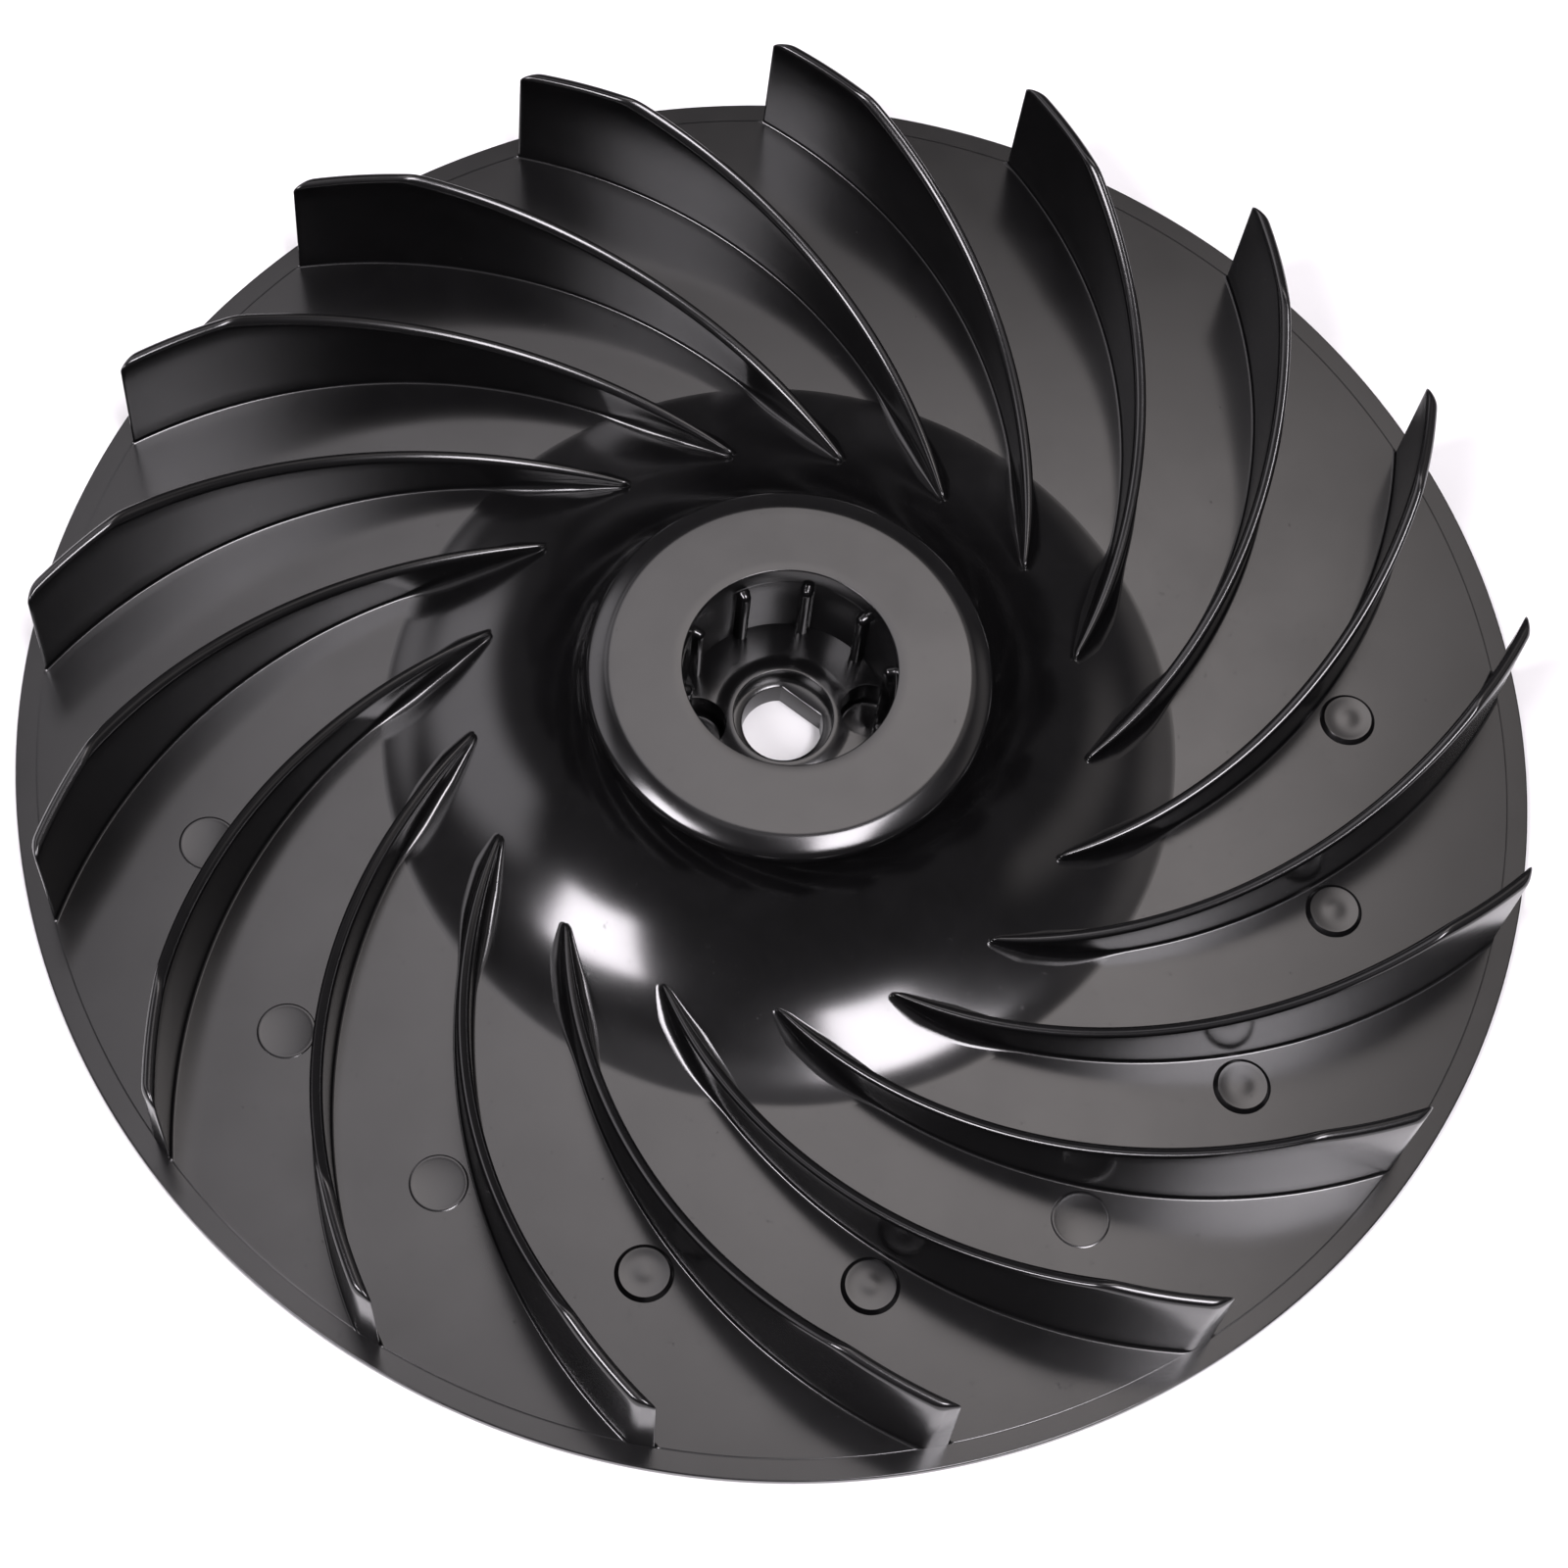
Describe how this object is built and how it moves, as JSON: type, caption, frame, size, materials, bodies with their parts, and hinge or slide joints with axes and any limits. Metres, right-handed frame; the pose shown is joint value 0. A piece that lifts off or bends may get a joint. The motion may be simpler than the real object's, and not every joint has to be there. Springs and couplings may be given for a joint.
{
  "type": "blower wheel",
  "caption": "Flat backward-curved blower wheel in black plastic: round plate, flared bell hub with a deep pocket and D-shaped shaft bore, and a ring of upright blades.",
  "frame": {"origin": "on the wheel's axis at the flat back face of the plate", "axes": "+Z along the axis, out of the hub face on the bladed side; the wheel's thickness is along Z"},
  "size_m": [0.15, 0.15, 0.0159],
  "materials": {
    "plate_plastic": "satin black moulded plastic",
    "bell_plastic": "glossy black moulded plastic",
    "face_plastic": "satin black moulded plastic",
    "pocket_plastic": "glossy black moulded plastic",
    "floor_plastic": "semi-gloss black moulded plastic",
    "blade_plastic": "semi-gloss black moulded plastic"
  },
  "bodies": {
    "root": {"back_plate": "plate_plastic", "hub_bell": "bell_plastic", "hub_face": "face_plastic", "pocket_sleeve": "pocket_plastic", "pocket_floor": "floor_plastic", "shaft_bush": "floor_plastic", "blade_01": "blade_plastic", "blade_02": "blade_plastic", "blade_03": "blade_plastic", "blade_04": "blade_plastic", "blade_05": "blade_plastic", "blade_06": "blade_plastic", "blade_07": "blade_plastic", "blade_08": "blade_plastic", "blade_09": "blade_plastic", "blade_10": "blade_plastic", "blade_11": "blade_plastic", "blade_12": "blade_plastic", "blade_13": "blade_plastic", "blade_14": "blade_plastic", "blade_15": "blade_plastic", "blade_16": "blade_plastic", "blade_17": "blade_plastic"}
  },
  "joints": []
}
